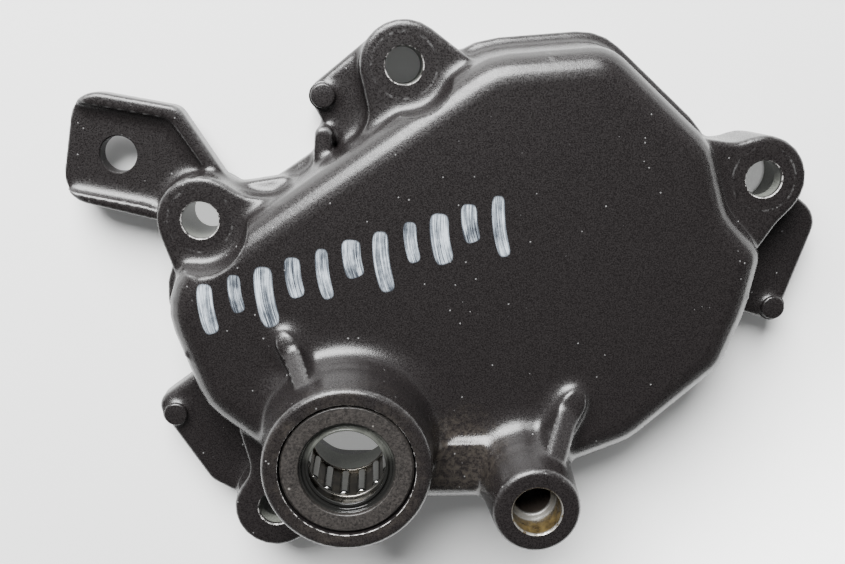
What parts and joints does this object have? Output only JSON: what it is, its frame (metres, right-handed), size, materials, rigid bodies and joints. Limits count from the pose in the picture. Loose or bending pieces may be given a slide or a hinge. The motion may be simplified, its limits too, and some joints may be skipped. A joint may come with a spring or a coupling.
{
  "type": "engine side cover",
  "caption": "Cast side cover for a motorbike gear shift, with screw lugs, a cable bracket, a shaft seal and a needle roller bearing in its boss.",
  "frame": {"origin": "the middle of the cover's outline, on the gasket face; the shaft's axis stands 19.7 mm to its left and 26.5 mm below it in the picture's view", "axes": "+Z out of the engine along the shaft, +X to the right and +Y up in the picture's view"},
  "size_m": [0.1476, 0.1036, 0.037],
  "materials": {
    "powder_coat": "black powder coat on cast aluminium, satin, fine grain, worn at edges",
    "seal_rubber": "black nitrile rubber, oily",
    "seal_steel": "plain steel",
    "bearing_steel": "hardened sheet steel, oily",
    "roller_steel": "ground bearing steel, bright"
  },
  "bodies": {
    "cover": {"cover_casting": "powder_coat", "seal_rubber": "seal_rubber", "seal_case": "seal_steel", "seal_spring": "seal_steel", "bearing_cup": "bearing_steel"},
    "cage": {"bearing_cage": "bearing_steel"},
    "needle_01": {"roller_01": "roller_steel"},
    "needle_02": {"roller_02": "roller_steel"},
    "needle_03": {"roller_03": "roller_steel"},
    "needle_04": {"roller_04": "roller_steel"},
    "needle_05": {"roller_05": "roller_steel"},
    "needle_06": {"roller_06": "roller_steel"},
    "needle_07": {"roller_07": "roller_steel"},
    "needle_08": {"roller_08": "roller_steel"},
    "needle_09": {"roller_09": "roller_steel"},
    "needle_10": {"roller_10": "roller_steel"},
    "needle_11": {"roller_11": "roller_steel"},
    "needle_12": {"roller_12": "roller_steel"},
    "needle_13": {"roller_13": "roller_steel"},
    "needle_14": {"roller_14": "roller_steel"},
    "needle_15": {"roller_15": "roller_steel"}
  },
  "joints": [
    {"name": "cage_spin", "type": "hinge", "parent": "cover", "child": "cage", "pos_m": [-0.01967, -0.02648, 0.02495], "axis": [0, 0, 1], "continuous": true},
    {"name": "roller_01_spin", "type": "hinge", "parent": "cage", "child": "needle_01", "pos_m": [-0.01167, -0.02648, 0.02495], "axis": [0, 0, 1], "continuous": true},
    {"name": "roller_02_spin", "type": "hinge", "parent": "cage", "child": "needle_02", "pos_m": [-0.01236, -0.02323, 0.02495], "axis": [0, 0, 1], "continuous": true},
    {"name": "roller_03_spin", "type": "hinge", "parent": "cage", "child": "needle_03", "pos_m": [-0.01432, -0.02053, 0.02495], "axis": [0, 0, 1], "continuous": true},
    {"name": "roller_04_spin", "type": "hinge", "parent": "cage", "child": "needle_04", "pos_m": [-0.0172, -0.01887, 0.02495], "axis": [0, 0, 1], "continuous": true},
    {"name": "roller_05_spin", "type": "hinge", "parent": "cage", "child": "needle_05", "pos_m": [-0.02051, -0.01852, 0.02495], "axis": [0, 0, 1], "continuous": true},
    {"name": "roller_06_spin", "type": "hinge", "parent": "cage", "child": "needle_06", "pos_m": [-0.02367, -0.01955, 0.02495], "axis": [0, 0, 1], "continuous": true},
    {"name": "roller_07_spin", "type": "hinge", "parent": "cage", "child": "needle_07", "pos_m": [-0.02614, -0.02178, 0.02495], "axis": [0, 0, 1], "continuous": true},
    {"name": "roller_08_spin", "type": "hinge", "parent": "cage", "child": "needle_08", "pos_m": [-0.0275, -0.02482, 0.02495], "axis": [0, 0, 1], "continuous": true},
    {"name": "roller_09_spin", "type": "hinge", "parent": "cage", "child": "needle_09", "pos_m": [-0.0275, -0.02814, 0.02495], "axis": [0, 0, 1], "continuous": true},
    {"name": "roller_10_spin", "type": "hinge", "parent": "cage", "child": "needle_10", "pos_m": [-0.02614, -0.03118, 0.02495], "axis": [0, 0, 1], "continuous": true},
    {"name": "roller_11_spin", "type": "hinge", "parent": "cage", "child": "needle_11", "pos_m": [-0.02367, -0.03341, 0.02495], "axis": [0, 0, 1], "continuous": true},
    {"name": "roller_12_spin", "type": "hinge", "parent": "cage", "child": "needle_12", "pos_m": [-0.02051, -0.03444, 0.02495], "axis": [0, 0, 1], "continuous": true},
    {"name": "roller_13_spin", "type": "hinge", "parent": "cage", "child": "needle_13", "pos_m": [-0.0172, -0.03409, 0.02495], "axis": [0, 0, 1], "continuous": true},
    {"name": "roller_14_spin", "type": "hinge", "parent": "cage", "child": "needle_14", "pos_m": [-0.01432, -0.03243, 0.02495], "axis": [0, 0, 1], "continuous": true},
    {"name": "roller_15_spin", "type": "hinge", "parent": "cage", "child": "needle_15", "pos_m": [-0.01236, -0.02973, 0.02495], "axis": [0, 0, 1], "continuous": true}
  ],
  "couplings": [
    {"joint": "roller_01_spin", "follows": "cage_spin", "ratio": -9},
    {"joint": "roller_02_spin", "follows": "cage_spin", "ratio": -9},
    {"joint": "roller_03_spin", "follows": "cage_spin", "ratio": -9},
    {"joint": "roller_04_spin", "follows": "cage_spin", "ratio": -9},
    {"joint": "roller_05_spin", "follows": "cage_spin", "ratio": -9},
    {"joint": "roller_06_spin", "follows": "cage_spin", "ratio": -9},
    {"joint": "roller_07_spin", "follows": "cage_spin", "ratio": -9},
    {"joint": "roller_08_spin", "follows": "cage_spin", "ratio": -9},
    {"joint": "roller_09_spin", "follows": "cage_spin", "ratio": -9},
    {"joint": "roller_10_spin", "follows": "cage_spin", "ratio": -9},
    {"joint": "roller_11_spin", "follows": "cage_spin", "ratio": -9},
    {"joint": "roller_12_spin", "follows": "cage_spin", "ratio": -9},
    {"joint": "roller_13_spin", "follows": "cage_spin", "ratio": -9},
    {"joint": "roller_14_spin", "follows": "cage_spin", "ratio": -9},
    {"joint": "roller_15_spin", "follows": "cage_spin", "ratio": -9}
  ]
}
